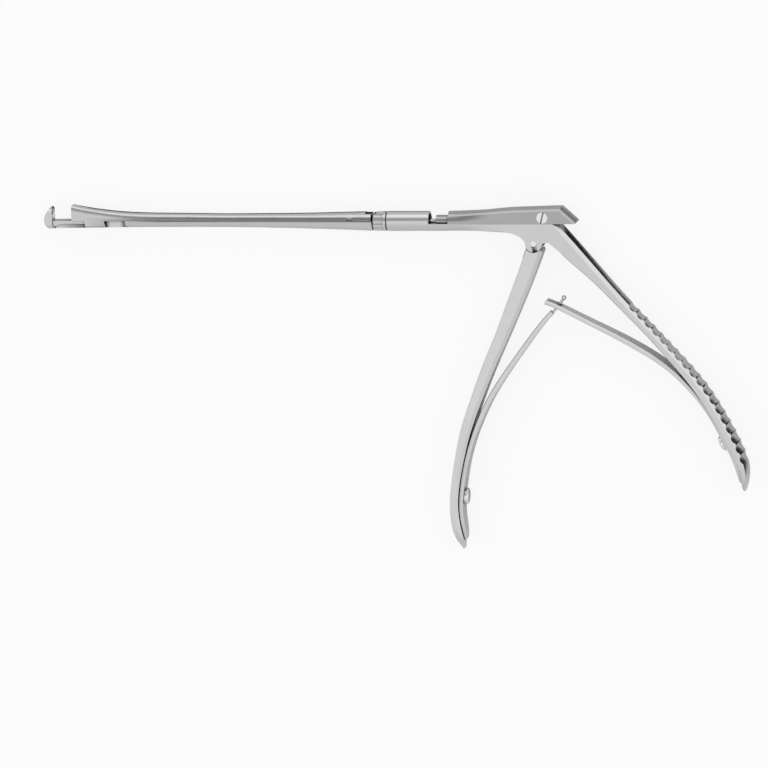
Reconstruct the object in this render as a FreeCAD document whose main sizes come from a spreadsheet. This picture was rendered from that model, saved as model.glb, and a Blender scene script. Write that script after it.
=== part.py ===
import FreeCAD, Part
import Sketcher
import math
import os

os.makedirs("parts", exist_ok=True)
doc = FreeCAD.newDocument("bone_rongeur")
Vec = FreeCAD.Vector

# Every piece is drawn in the instrument's own coordinates, in millimetres: x runs along the shaft
# from the tip of the footplate, y is up from the axis of the round shaft, and z is the distance from
# the flat middle plane. One placement then lays the whole instrument on its side.
SIZES = [
    ("origin_along", 110.08, "x of the frame's origin, the middle of the outline"),
    ("origin_up", -49.48, "y of the frame's origin, the middle of the outline"),
    ("grip_width", 9.2, "widest part of both handles, which lies on the table"),
    ("body_width", 7.0, "width of the rear slide and the frame under it"),
    ("run_gap", 0.03, "clearance of sliding and turning fits"),
    ("seat_gap", 0.01, "clearance of pinned, pressed and screwed seats"),
    ("travel", 6.2, "stroke of both slides, which closes the jaw"),
    ("parting_height", 0.5, "height of the sliding face of the front shaft above the axis"),
    ("foot_face", 2.5, "x of the footplate's rear face, which the cutter meets"),
    ("foot_top", 4.85, "height of the footplate"),
    ("foot_half_width", 2.25, "half width of the footplate"),
    ("foot_drop", 1.97, "depth of the footplate below the axis"),
    ("bar_half_width", 1.8, "half width of the front bar's upper flange"),
    ("bar_flange_drop", 0.35, "depth of that flange below the axis"),
    ("keel_half_width", 1.25, "half width of the bar under its flange"),
    ("keel_drop", 1.8, "depth of the bar below the axis"),
    ("neck_half_width", 1.0, "half width of the bar's neck in the window"),
    ("skirt_start", 12.75, "x of the skirt's front end at rest"),
    ("skirt_length", 6.2, "length of the skirt that clasps the bar"),
    ("skirt_drop", 1.68, "depth of the skirt below the axis"),
    ("skirt_half_width", 2.27, "outer half width of the skirt and the cutting head"),
    ("window_start", 19.1, "x where the bar's flanges end, so that the skirt can lift off"),
    ("window_end", 25.8, "x where the round shaft begins"),
    ("cutter_top", 5.45, "height of the cutting edge"),
    ("cup_depth", 3.0, "depth of the hollow in the cutting head"),
    ("lug_start", 90.4, "x of the cutting slide's hooked lug"),
    ("lug_length", 1.6, "length of that lug"),
    ("lug_stem_half_width", 0.5, "half width of the lug's stem"),
    ("lug_head_half_width", 1.05, "half width of the lug's head"),
    ("lug_ledge", 0.65, "thickness of the ledge that the lug hooks under"),
    ("lug_head_height", 0.7, "height of the lug's head"),
    ("flat_start", 96.8, "x of the flats on the sides of the cutting slide"),
    ("flat_length", 1.9, "length of those flats"),
    ("flat_half_width", 2.45, "half width of the slide between the flats"),
    ("shaft_end", 104.7, "x of the round shaft's rear face"),
    ("shaft_rear_radius", 3.0, "radius of the round shaft at its rear face"),
    ("slide_relief_length", 1.9, "length of the shallow step at the slide's rear end"),
    ("slide_relief_depth", 0.42, "depth of that step"),
    ("tenon_radius", 2.0, "radius of the tube that the ring and collar sit on"),
    ("rod_radius", 1.2, "radius of the push rod"),
    ("rod_start", 99.5, "x of the push rod's front end at rest"),
    ("rod_neck_start", 121.2, "x where the push rod is necked down"),
    ("rod_neck_radius", 0.75, "radius of the neck"),
    ("rod_button_radius", 1.25, "radius of the button that turns in the rear slide"),
    ("rod_button_start", 126.3, "x of the button"),
    ("rod_button_length", 1.3, "length of the button"),
    ("rod_pin_place", 102.0, "x of the cross pin that ties rod and cutting slide"),
    ("rod_pin_radius", 0.4, "radius of that pin"),
    ("ring_start", 105.2, "x of the turning ring"),
    ("ring_length", 3.9, "length of the turning ring"),
    ("ring_radius", 3.05, "radius of the turning ring"),
    ("flute_count", 8, "finger flutes on the ring"),
    ("flute_length", 3.0, "length of each flute"),
    ("flute_radius", 1.3, "radius of each flute"),
    ("flute_depth", 0.42, "depth of each flute"),
    ("ring_pin_radius", 0.4, "radius of the pin that keys the ring to the tube"),
    ("collar_start", 109.6, "x of the frame's collar"),
    ("collar_radius", 3.1, "radius of the collar and of the round rail behind it"),
    ("collar_bearing_length", 5.9, "length of the collar's bearing bore"),
    ("collar_mouth_radius", 2.5, "radius of the wide bore that takes the nut and the boss"),
    ("collar_end", 122.8, "x of the collar's open rear face"),
    ("nut_length", 2.4, "length of the retaining nut"),
    ("boss_length", 4.0, "length of the boss on the rear slide's front"),
    ("boss_radius", 1.9, "radius of that boss"),
    ("slide_front", 129.0, "x of the rear slide's front face at rest"),
    ("slide_top_front", 3.15, "height of the rear slide at its front"),
    ("slide_top_rear", 4.4, "height of the rear slide at its back"),
    ("slide_bevel", 0.55, "bevel along the rear slide's upper edges"),
    ("slide_rear", 169.6, "x of the rear slide's sharp end"),
    ("rail_top", -0.4, "height of the sliding face under the rear slide"),
    ("rail_drop", 3.05, "depth of the rail under the rear slide"),
    ("square_from", 150.0, "x where the rail and slide have become square"),
    ("tee_lug_start", 136.2, "x of the rear slide's hooked lug at rest"),
    ("tee_lug_length", 3.0, "length of that lug"),
    ("tee_stem_half_width", 0.8, "half width of its stem"),
    ("tee_head_half_width", 1.6, "half width of its head"),
    ("tee_ledge", 0.7, "thickness of the ledge over its head"),
    ("tee_head_height", 0.7, "height of its head"),
    ("pivot_along", 156.1, "x of the lever's pivot"),
    ("pivot_drop", 6.6, "depth of the pivot below the axis"),
    ("pivot_radius", 0.95, "radius of the pivot pin"),
    ("lobe_radius", 2.7, "radius of the frame's lobe round the pivot"),
    ("keyhole_width", 1.7, "width of the slot that opens the pivot hole downwards"),
    ("keyhole_tilt", 10.5, "tilt of that slot, degrees"),
    ("shoulder_gap", 0.2, "gap between the lobe and the lever's hollow shoulders"),
    ("tongue_thickness", 2.4, "thickness of the lever's upper tongue"),
    ("tongue_half_width", 1.75, "half width of the tongue at its fork"),
    ("fork_reach", 9.6, "distance of the fork's open end from the pivot"),
    ("fork_bottom", 7.1, "distance of the fork's bottom from the pivot"),
    ("screw_along", 159.2, "x of the slide screw at rest"),
    ("screw_up", 1.55, "height of the slide screw"),
    ("screw_head_radius", 1.75, "radius of the slide screw's head"),
    ("screw_head_height", 0.8, "height of that head, let in flush"),
    ("screw_shank_radius", 0.9, "radius of the part that the fork drives"),
    ("screw_slot_width", 0.5, "width of every screwdriver slot"),
    ("screw_slot_depth", 0.4, "depth of every screwdriver slot"),
    ("spring_thickness", 1.35, "thickness of the leaf springs at their screws"),
    ("spring_edge", 0.2, "bevel along the edges of the leaf springs"),
    ("spring_gap", 0.06, "film between a leaf spring and its handle"),
    ("spring_screw_head_radius", 2.5, "radius of the spring screws' heads"),
    ("spring_screw_head_height", 1.45, "height of those heads"),
    ("spring_screw_radius", 1.0, "radius of the spring screws' shanks"),
    ("spring_screw_length", 1.5, "length of those shanks inside the handle"),
    ("fork_slot_width", 1.9, "slot between the rear spring's two prongs"),
    ("fork_slot_length", 5.2, "length of that slot"),
    ("ball_radius", 0.75, "radius of the ball at the front spring's tip"),
    ("edge_bevel", 1.0, "bevel along the outer edges of the handles"),
    ("scallop_count", 18, "finger scallops on the rear handle"),
    ("scallop_pitch", 3.44, "distance from scallop to scallop"),
    ("scallop_radius", 2.4, "radius of each scallop"),
    ("scallop_depth", 0.5, "depth of each scallop"),
    ("scallop_first", 38.5, "distance of the first scallop down the handle's back"),
]

sheet = doc.addObject("Spreadsheet::Sheet", "Sizes")
for row, (alias, value, meaning) in enumerate(SIZES, start=1):
    sheet.set("A%d" % row, alias)
    sheet.set("B%d" % row, str(value))
    sheet.set("C%d" % row, meaning)
    sheet.setAlias("B%d" % row, alias)
doc.recompute()


def size(alias):
    return float(getattr(sheet, alias))


def bind(thing, prop, formula):
    """Binds a property to the sheet: @name in the formula stands for a cell."""
    thing.setExpression(prop, formula.replace("@", "Sizes."))


def new_body(name):
    body = doc.addObject("PartDesign::Body", name)
    body.Label = name
    bind(body, "Placement.Base.x", "-@origin_along")
    bind(body, "Placement.Base.y", "-@origin_up")
    bind(body, "Placement.Base.z", "@grip_width / 2")
    return body


def new_sketch(body, role, base=(0, 0, 0), turn=0):
    """A sketch on one of the body's planes, moved by base and turned about its own upright axis."""
    sketch = body.newObject("Sketcher::SketchObject", body.Name + "_sketch")
    plane = [item for item in body.Origin.OriginFeatures if item.Role == role][0]
    sketch.AttachmentSupport = [(plane, "")]
    sketch.MapMode = "FlatFace"
    sketch.AttachmentOffset = FreeCAD.Placement(Vec(*base), FreeCAD.Rotation(Vec(0, 1, 0), turn))
    return sketch


def side_sketch(body):
    return new_sketch(body, "XY_Plane")


def cross_sketch(body, along):
    return new_sketch(body, "YZ_Plane", (0, 0, along))


def spline(points):
    curve = Part.BSplineCurve()
    curve.interpolate([Vec(x, y, 0) for x, y in points])
    return curve


def line(start, end):
    return Part.LineSegment(Vec(start[0], start[1], 0), Vec(end[0], end[1], 0))


def arc(start, middle, end):
    return Part.Arc(Vec(start[0], start[1], 0), Vec(middle[0], middle[1], 0), Vec(end[0], end[1], 0))


def draw(sketch, curves):
    """Adds a closed outline and ties each curve's end to the start of the next."""
    first = sketch.GeometryCount
    sketch.addGeometry(curves)
    for index in range(len(curves)):
        here = first + index
        there = first + (index + 1) % len(curves)
        # A sketch stores every arc anticlockwise, so the ends that meet are found by their distance.
        for end, start in ((2, 1), (1, 1), (2, 2), (1, 2)):
            if sketch.getPoint(here, end).distanceToPoint(sketch.getPoint(there, start)) < 1e-6:
                sketch.addConstraint(Sketcher.Constraint("Coincident", here, end, there, start))
                break
    return sketch


def polygon(sketch, points):
    ring = list(points) + [points[0]]
    return draw(sketch, [line(ring[i], ring[i + 1]) for i in range(len(points))])


def rectangle(sketch, x0, x1, y0, y1):
    return polygon(sketch, [(x0, y0), (x1, y0), (x1, y1), (x0, y1)])


def circle(sketch, x, y, radius):
    sketch.addGeometry(Part.Circle(Vec(x, y, 0), Vec(0, 0, 1), radius))
    return sketch


def extrude(body, kind, sketch, length, midplane=False, towards_back=False):
    """Pads or pockets a sketch; length is a number or a formula of the sheet."""
    feature = body.newObject("PartDesign::" + kind, body.Name + "_" + kind.lower())
    feature.Profile = sketch
    if isinstance(length, str):
        bind(feature, "Length", length)
    else:
        feature.Length = length
    if midplane:
        feature.Midplane = True
    feature.Reversed = towards_back
    sketch.Visibility = False
    return feature


def pad(body, sketch, length, midplane=False, towards_back=False):
    return extrude(body, "Pad", sketch, length, midplane, towards_back)


def pocket(body, sketch, length, midplane=False, towards_front=False):
    """A pocket runs against the sketch's normal unless towards_front is set."""
    return extrude(body, "Pocket", sketch, length, midplane, towards_front)


def loft(body, sketches, cut=False):
    kind = "SubtractiveLoft" if cut else "AdditiveLoft"
    feature = body.newObject("PartDesign::" + kind, body.Name + "_loft")
    feature.Profile = sketches[0]
    feature.Sections = sketches[1:]
    return feature


def round_bar(body, kind, along, radius, length, up=0.0):
    """Adds or cuts a cylinder that runs along the shaft from the given place."""
    sketch = circle(cross_sketch(body, along), up, 0, radius)
    return pad(body, sketch, length) if kind == "add" else pocket(body, sketch, length, False, True)


def hollow(body, centre, radii):
    """Cuts an ellipsoid; radii are along x, y and z."""
    cut = body.newObject("PartDesign::SubtractiveEllipsoid", body.Name + "_hollow")
    plane = [item for item in body.Origin.OriginFeatures if item.Role == "XY_Plane"][0]
    cut.AttachmentSupport = [(plane, "")]
    cut.MapMode = "FlatFace"
    cut.AttachmentOffset = FreeCAD.Placement(Vec(*centre), FreeCAD.Rotation())
    cut.Radius2, cut.Radius3, cut.Radius1 = radii
    return cut


def along_handle(body, start, end, curves):
    """A sketch across a handle: its x runs from start to end in the side view, its y is the width."""
    turn = math.degrees(math.atan2(end[1] - start[1], end[0] - start[0]))
    sketch = new_sketch(body, "XZ_Plane", (start[0], 0, -start[1]), turn)
    return draw(sketch, curves)


def plank(back, front, width, back_bevel, front_bevel):
    """The six- or eight-sided section of a handle or spring between two points of the side view."""
    depth = math.dist(back, front)
    half = width / 2
    corners = [(0, -half + back_bevel), (back_bevel, -half), (depth - front_bevel, -half),
               (depth, -half + front_bevel), (depth, half - front_bevel), (depth - front_bevel, half),
               (back_bevel, half), (0, half - back_bevel)]
    return [line(corners[i], corners[(i + 1) % len(corners)]) for i in range(len(corners))]


# Common sizes worked out from the sheet.
body_width = size("body_width")
half_body = body_width / 2
gap = size("run_gap")
seat = size("seat_gap")
travel = size("travel")
parting = size("parting_height")
cutter_face = size("foot_face") + travel + 2 * gap
skirt_end = size("skirt_start") + size("skirt_length")
slide_end = size("shaft_end") - 0.2
pivot = (size("pivot_along"), -size("pivot_drop"))
screw = (size("screw_along"), size("screw_up"))
tenon_end = size("collar_start") + size("collar_bearing_length") + size("nut_length") + 0.2
rail_top = size("rail_top")
rod_bore = size("rod_radius") + 0.12
ring_pin_place = size("ring_start") + size("ring_length") - 0.45
spring_edge = size("spring_edge")
spring_face = -size("spring_gap") - size("spring_thickness") + 0.12
beyond = 20.0

# Centre height and radius of the front shaft's round envelope at places along it.
SHAFT_STATIONS = [
    (size("window_end"), 0.48, 2.27),
    (38.0, 0.42, 2.19),
    (52.0, 0.36, 2.14),
    (66.0, 0.27, 2.17),
    (81.0, 0.17, 2.38),
    (94.0, 0.12, 2.7),
    (size("shaft_end"), 0.0, size("shaft_rear_radius")),
]


def shaft_half_width(centre, radius):
    return math.sqrt(radius ** 2 - (parting - centre) ** 2)


def keel_section(half, bottom):
    """Corners of the fixed shaft's section: a short land under the parting, sloped sides, a bevelled foot."""
    knee = bottom + (parting - bottom) * 0.32
    left = [(parting + 0.4, half), (parting - 0.3, half), (knee, half * 0.77), (bottom, half * 0.36)]
    return left + [(y, -z) for y, z in reversed(left)]


def make_fixed_shaft():
    """Lower shaft: flat-sided bar under the sliding face, slender front bar, footplate and rear tube."""
    body = new_body("fixed_shaft")
    sections = []
    for x, centre, radius in SHAFT_STATIONS:
        corners = keel_section(shaft_half_width(centre, radius), centre - radius + 0.12)
        sections.append(polygon(cross_sketch(body, x), corners))
    loft(body, sections)
    round_bar(body, "add", size("shaft_end") - 0.5, size("tenon_radius"), tenon_end - size("shaft_end") + 0.5)
    pocket(body, rectangle(side_sketch(body), 0, size("shaft_end"), parting, 8), beyond, True)

    # Front bar: a flanged rail that the skirt clasps, then the plain neck in the window.
    flange_end = size("window_start")
    keel = polygon(side_sketch(body), [(1.0, parting), (size("window_end") + 0.4, parting),
                                       (size("window_end") + 0.4, -1.6), (flange_end, -1.72),
                                       (5.0, -size("keel_drop")), (1.0, -size("foot_drop"))])
    pad(body, keel, "2 * @neck_half_width", True)
    stout = polygon(side_sketch(body), [(1.0, parting), (flange_end, parting), (flange_end, -1.72),
                                        (5.0, -size("keel_drop")), (1.0, -size("foot_drop"))])
    pad(body, stout, "2 * @keel_half_width", True)
    flange = side_sketch(body)
    bottom = -size("bar_flange_drop")
    run_out = (2.1, -size("foot_drop") + 0.2)
    draw(flange, [line((1.0, parting), (flange_end, parting)),
                  line((flange_end, parting), (flange_end, bottom)),
                  line((flange_end, bottom), (6.3, bottom)), arc((6.3, bottom), (4.3, -0.72), run_out),
                  line(run_out, (1.0, parting))])
    pad(body, flange, "2 * @bar_half_width", True)

    # Footplate: a rounded hook, dished on its rear face.
    top = size("foot_top")
    face = size("foot_face")
    low = -size("foot_drop")
    hook = side_sketch(body)
    draw(hook, [line((face, -0.9), (face, top - 0.25)),
                arc((face, top - 0.25), (face - 0.12, top), (face - 0.5, top)),
                spline([(face - 0.5, top), (1.45, 4.15), (0.75, 3.1), (0.2, 2.0), (0.0, 0.9), (0.15, -0.4),
                        (0.75, -1.4), (1.9, low)]),
                line((1.9, low), (face + 0.9, low)), line((face + 0.9, low), (face, -0.9))])
    pad(body, hook, "2 * @foot_half_width", True)
    half = size("foot_half_width")
    outline = cross_sketch(body, -1)
    rectangle(outline, -9, 9, -9, 9)
    crown = top - half * 0.5
    draw(outline, [line((crown, half), (low + 1.2, half)),
                   arc((low + 1.2, half), (low + 0.4, half - 0.35), (low, half - 1.1)),
                   line((low, half - 1.1), (low, -half + 1.1)),
                   arc((low, -half + 1.1), (low + 0.4, -half + 0.35), (low + 1.2, -half)),
                   line((low + 1.2, -half), (crown, -half)), arc((crown, -half), (top, 0), (crown, half))])
    pocket(body, outline, "@foot_face + 1.9", False, True)
    hollow(body, (face + 0.15, 2.55, 0), (1.25, 1.75, 1.75))

    # Undercut slot for the cutting slide's lug, with its side entry.
    slot_start = size("lug_start") - travel - 0.4
    slot_end = size("lug_start") + travel + size("lug_length") + 0.1
    ledge = parting - size("lug_ledge")
    depth = ledge - size("lug_head_height") - 0.15
    stem = size("lug_stem_half_width") + 0.05
    head = size("lug_head_half_width") + 0.05
    middle = side_sketch(body)
    rectangle(middle, slot_start, slot_end, depth, 3)
    pocket(body, middle, 2 * stem, True)
    undercut = side_sketch(body)
    rectangle(undercut, slot_start, slot_end, depth, ledge)
    pocket(body, undercut, 2 * head, True)
    entry = side_sketch(body)
    rectangle(entry, slot_end - size("lug_length") - 0.3, slot_end, ledge, 3)
    pocket(body, entry, 2 * head, True)

    # Trough and bore for the push rod.
    round_bar(body, "cut", size("rod_start") - travel - 0.2, rod_bore, beyond * 2)
    cross_hole(body, ring_pin_place, "@ring_pin_radius + @seat_gap", "@ring_radius + 1", downwards=True)
    return body


def cross_hole(body, along, radius, depth, downwards):
    """Drills square to the shaft, from its axis, upwards or downwards in the side view."""
    sketch = new_sketch(body, "XZ_Plane")
    circle(sketch, along, 0, 1)
    sketch.addConstraint(Sketcher.Constraint("Radius", 0, 1.0))
    bind(sketch, "Constraints[0]", radius)
    return pocket(body, sketch, depth, False, downwards)


def revolve(body, sketch):
    """Turns a half profile about its sketch's horizontal axis."""
    feature = body.newObject("PartDesign::Revolution", body.Name + "_turned")
    feature.Profile = sketch
    feature.ReferenceAxis = (sketch, ["H_Axis"])
    feature.Angle = 360
    return feature


def dome(half_width, height, squareness, floor):
    """Half a superellipse standing on the floor line: 2 gives an ellipse, more gives a squarer arch."""
    steps = 10
    points = []
    for step in range(steps + 1):
        angle = math.pi * step / steps
        across = abs(math.cos(angle)) ** (2 / squareness)
        rise = math.sin(angle) ** (2 / squareness) if 0 < step < steps else 0.0
        points.append((floor + height * rise, -half_width * math.copysign(across, math.cos(angle))))
    return [spline(points), line(points[-1], points[0])]


def make_cutting_slide():
    """Upper slide: cutting head with its hollow, skirt round the bar, hooked lug and rod seat."""
    body = new_body("cutting_slide")
    floor = parting + gap
    wide = size("skirt_half_width")
    head_top = size("cutter_top")
    stations = [(cutter_face, wide - 0.05, head_top, 3.8), (11.2, wide - 0.03, 4.95, 3.8),
                (14.3, wide - 0.01, 4.35, 3.7), (17.5, wide, 3.9, 3.4), (21.5, wide, 3.42, 3.0)]
    tops = [3.06, 2.68, 2.52, 2.47, 2.57, 2.83, 3.0]
    fullness = [2.7, 2.4, 2.3, 2.25, 2.2, 2.15, 2.1]
    for (x, centre, radius), top, squareness in zip(SHAFT_STATIONS, tops, fullness):
        stations.append((min(x, slide_end), shaft_half_width(centre, radius), top, squareness))
    sections = []
    for x, half, top, squareness in stations:
        sections.append(draw(cross_sketch(body, x), dome(half, top - floor, squareness, floor)))
    loft(body, sections)
    skirt = polygon(side_sketch(body), [(size("skirt_start"), floor + 0.6), (skirt_end, floor + 0.6),
                                        (skirt_end + 0.7, -size("skirt_drop")),
                                        (size("skirt_start") + 0.45, -size("skirt_drop"))])
    pad(body, skirt, "2 * @skirt_half_width", True)
    low = -size("skirt_drop")
    corners = cross_sketch(body, size("skirt_start") - 1)
    for side in (-1, 1):
        draw(corners, [line((low + 0.9, side * wide), (low - 0.5, side * wide * 1.3)),
                       line((low - 0.5, side * wide * 1.3), (low, side * (wide - 0.9))),
                       arc((low, side * (wide - 0.9)), (low + 0.26, side * (wide - 0.26)),
                           (low + 0.9, side * wide))])
    pocket(body, corners, "@skirt_length + 3", False, True)
    slip = gap * 2
    channel = cross_sketch(body, size("skirt_start") - 1)
    flange_low = -size("bar_flange_drop") - slip
    rectangle(channel, flange_low, floor, -size("bar_half_width") - slip, size("bar_half_width") + slip)
    pocket(body, channel, "@skirt_length + 3", False, True)
    keel_way = cross_sketch(body, size("skirt_start") - 1)
    rectangle(keel_way, low - 1, floor, -size("keel_half_width") - slip, size("keel_half_width") + slip)
    pocket(body, keel_way, "@skirt_length + 3", False, True)
    hollow(body, (cutter_face - 0.2, 2.95, 0), (size("cup_depth") + 0.2, 1.78, 1.63))
    nose = side_sketch(body)
    draw(nose, [arc((cutter_face, head_top - 0.55), (cutter_face + 0.15, head_top - 0.16),
                    (cutter_face + 0.5, head_top)),
                line((cutter_face + 0.5, head_top), (cutter_face + 0.5, head_top + 1)),
                line((cutter_face + 0.5, head_top + 1), (cutter_face - 1, head_top + 1)),
                line((cutter_face - 1, head_top + 1), (cutter_face - 1, head_top - 0.55)),
                line((cutter_face - 1, head_top - 0.55), (cutter_face, head_top - 0.55))])
    pocket(body, nose, beyond, True)

    # Hooked lug under the slide.
    lug_top = parting - size("lug_ledge") - gap
    lug_foot = lug_top - size("lug_head_height")
    start = size("lug_start")
    stem = rectangle(side_sketch(body), start, start + size("lug_length"), lug_foot, floor + 0.3)
    pad(body, stem, "2 * @lug_stem_half_width", True)
    head = rectangle(side_sketch(body), start, start + size("lug_length"), lug_foot, lug_top)
    pad(body, head, "2 * @lug_head_half_width", True)

    # Seat and cross hole of the push rod, and the shallow step at the rear.
    round_bar(body, "cut", size("rod_start") - seat, size("rod_radius") + seat, beyond)
    cross_hole(body, size("rod_pin_place"), "@rod_pin_radius + @seat_gap", beyond, downwards=False)
    relief = side_sketch(body)
    rear_top = tops[-1] - size("slide_relief_depth")
    rectangle(relief, slide_end - size("slide_relief_length"), slide_end + 1, rear_top, rear_top + 3)
    pocket(body, relief, beyond, True)

    # Flats on both sides, for the spanner that lifts the slide off.
    for side in (-1, 1):
        flat = new_sketch(body, "XY_Plane", (0, 0, side * size("flat_half_width")))
        rectangle(flat, size("flat_start"), size("flat_start") + size("flat_length"), floor + 0.1, 2.75)
        pocket(body, flat, 2, False, side > 0)
    return body


def make_push_rod():
    """Rod with a necked tail and a button that pulls, pushes and turns in the rear slide's boss."""
    body = new_body("push_rod")
    start = size("rod_start")
    radius = size("rod_radius")
    neck = size("rod_neck_radius")
    neck_start = size("rod_neck_start")
    button = size("rod_button_start")
    button_end = button + size("rod_button_length")
    profile = polygon(side_sketch(body), [
        (start, 0), (start, radius - 0.2), (start + 0.2, radius), (neck_start - 0.3, radius), (neck_start, neck),
        (button, neck), (button, size("rod_button_radius")), (button_end - 0.2, size("rod_button_radius")),
        (button_end, size("rod_button_radius") - 0.2), (button_end, 0)])
    revolve(body, profile)
    cross_hole(body, size("rod_pin_place"), "@rod_pin_radius + @seat_gap", "@rod_radius + 1", downwards=False)
    cross_hole(body, size("rod_pin_place"), "@rod_pin_radius + @seat_gap", "@rod_radius - 0.2", downwards=True)
    return body


def make_rod_pin():
    """Cross pin through the cutting slide and the rod."""
    body = new_body("rod_pin")
    top = 2.86
    foot = -size("rod_radius") + 0.25
    sketch = new_sketch(body, "XZ_Plane", (0, 0, -top))
    circle(sketch, size("rod_pin_place"), 0, size("rod_pin_radius"))
    pad(body, sketch, top - foot)
    return body


def make_rotation_ring():
    """Fluted ring that turns the shaft."""
    body = new_body("rotation_ring")
    radius = size("ring_radius")
    round_bar(body, "add", size("ring_start"), radius, "@ring_length")
    sketch = cross_sketch(body, size("ring_start"))
    circle(sketch, 0, radius + size("flute_radius") - size("flute_depth"), size("flute_radius"))
    flute = pocket(body, sketch, "@flute_length", False, True)
    doc.recompute()
    pattern = body.newObject("PartDesign::PolarPattern", "ring_flutes")
    pattern.Originals = [flute]
    axis = [item for item in body.Origin.OriginFeatures if item.Role == "X_Axis"][0]
    pattern.Axis = (axis, [""])
    pattern.Angle = 360
    bind(pattern, "Occurrences", "@flute_count")
    body.Tip = pattern
    doc.recompute()
    round_bar(body, "cut", size("ring_start") - 1, size("tenon_radius") + seat, "@ring_length + 2")
    cross_hole(body, ring_pin_place, "@ring_pin_radius + @seat_gap", "@ring_radius + 1", downwards=True)
    notch = side_sketch(body)
    rectangle(notch, size("ring_start") - 1, size("ring_start") + 0.8, radius - 0.42, radius + 1)
    pocket(body, notch, beyond, True)
    return body


def make_ring_pin():
    """Pin that keys the ring to the tube."""
    body = new_body("ring_pin")
    inner = rod_bore + 0.08
    outer = size("ring_radius") - 0.06
    sketch = new_sketch(body, "XZ_Plane", (0, 0, inner))
    circle(sketch, ring_pin_place, 0, size("ring_pin_radius"))
    pad(body, sketch, outer - inner)
    return body


def make_spring_washer():
    """Washer that holds the ring off the collar and brakes its turning."""
    body = new_body("spring_washer")
    start = size("ring_start") + size("ring_length") + gap / 2
    length = size("collar_start") - start - gap / 2
    round_bar(body, "add", start, size("tenon_radius") + 0.65, length)
    round_bar(body, "cut", start - 1, size("tenon_radius") + 0.06, length + 2)
    return body


def make_retaining_nut():
    """Slotted round nut that draws the tube into the collar."""
    body = new_body("retaining_nut")
    start = size("collar_start") + size("collar_bearing_length") + gap
    round_bar(body, "add", start, size("collar_mouth_radius") - 0.06, "@nut_length")
    round_bar(body, "cut", start - 1, size("tenon_radius") + seat, "@nut_length + 2")
    slots = cross_sketch(body, start + size("nut_length") - 0.8)
    rectangle(slots, -4, 4, -0.4, 0.4)
    pocket(body, slots, 2, False, True)
    return body


def arch(half_width, height, roundness, bevel, sign, base=0.0):
    """Section standing on a base line that changes from half a round (1) into a bevelled box (0)."""
    corners = [(0, half_width), (height - bevel, half_width), (height, half_width - bevel),
               (height, -half_width + bevel), (height - bevel, -half_width), (0, -half_width)]
    edges = []
    for (y0, z0), (y1, z1) in zip(corners, corners[1:]):
        points = []
        for step in range(5):
            y = y0 + (y1 - y0) * step / 4
            z = z0 + (z1 - z0) * step / 4
            angle = math.atan2(y / height, z / half_width)
            round_y = height * math.sin(angle)
            round_z = half_width * math.cos(angle)
            points.append((base + sign * (y + (round_y - y) * roundness), z + (round_z - z) * roundness))
        edges.append(spline(points))
    return edges + [line((base, -half_width), (base, half_width))]


def plank_loft(body, stations):
    """Lofts a handle or spring through (back point, front point, width, back bevel, front bevel)."""
    sections = []
    for back, front, width, back_bevel, front_bevel in stations:
        sections.append(along_handle(body, back, front, plank(back, front, width, back_bevel, front_bevel)))
    return loft(body, sections)


# Stations down the rear handle: outer edge, inner edge, width.
REAR_HANDLE = [
    ((161.6, 2.0), (157.7, -1.35), 7.0), ((165.3, -2.35), (161.4, -5.7), 7.0),
    ((169.6, -7.4), (165.7, -10.73), 7.0), ((175.6, -14.7), (172.8, -17.2), 7.0),
    ((184.6, -25.4), (182.55, -27.25), 7.0), ((192.1, -33.6), (190.2, -35.3), 7.3),
    ((199.0, -41.4), (197.0, -43.1), 7.8), ((205.5, -49.1), (203.3, -50.7), 8.4),
    ((211.4, -57.9), (209.0, -59.3), 8.9), ((216.2, -67.3), (214.0, -68.3), 9.2),
    ((219.3, -75.0), (217.5, -75.5), 9.2), ((220.15, -79.8), (218.65, -79.9), 8.6),
    ((219.95, -83.3), (218.7, -83.15), 6.4), ((219.4, -85.7), (218.8, -85.55), 2.8),
]
# Stations down the lever: outer edge, inner edge, width.
LEVER = [
    ((154.95, -5.0), (159.6, -7.0), 7.0), ((152.6, -11.1), (157.3, -12.9), 7.0),
    ((148.1, -22.1), (152.5, -23.9), 7.0), ((144.6, -30.6), (148.6, -32.3), 7.0),
    ((141.0, -38.9), (144.65, -40.45), 7.3), ((137.4, -47.1), (140.8, -48.5), 7.9),
    ((133.9, -56.0), (137.0, -57.2), 8.5), ((130.2, -66.2), (133.2, -67.15), 9.1),
    ((128.4, -73.5), (131.15, -74.15), 9.2), ((126.8, -81.5), (129.3, -81.9), 9.2),
    ((126.0, -87.3), (128.45, -87.45), 9.2), ((125.9, -94.3), (128.4, -94.2), 8.9),
    ((126.7, -99.2), (129.0, -98.7), 7.8), ((127.75, -102.0), (129.35, -101.3), 5.2),
    ((128.75, -104.2), (129.4, -103.85), 2.4),
]


def between(first, second, share):
    """A station part of the way from one station of a handle to the next."""
    points = [tuple(p + (q - p) * share for p, q in zip(first[i], second[i])) for i in (0, 1)]
    return (points[0], points[1], first[2] + (second[2] - first[2]) * share)


rear_screw_station = between(REAR_HANDLE[9], REAR_HANDLE[10], 0.2)
front_screw_station = LEVER[10]


def beside(origin, towards, distance):
    """The point at a distance from origin, on the line through towards."""
    whole = math.dist(origin, towards)
    share = distance / whole
    return (origin[0] + (towards[0] - origin[0]) * share, origin[1] + (towards[1] - origin[1]) * share)


def full_width(width):
    """Width of a handle station: 7 and 9.2 in the lists stand for the body's and the grip's width."""
    if width <= 7.0:
        return width * body_width / 7.0
    if width >= 9.1:
        return size("grip_width") + 0.5
    return body_width + (width - 7.0) / 2.2 * (size("grip_width") - body_width)


def edge_bevel(outer, inner):
    """Bevel of a handle's edge, less where the handle is thin."""
    return min(size("edge_bevel"), math.dist(outer, inner) * 0.4)


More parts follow.
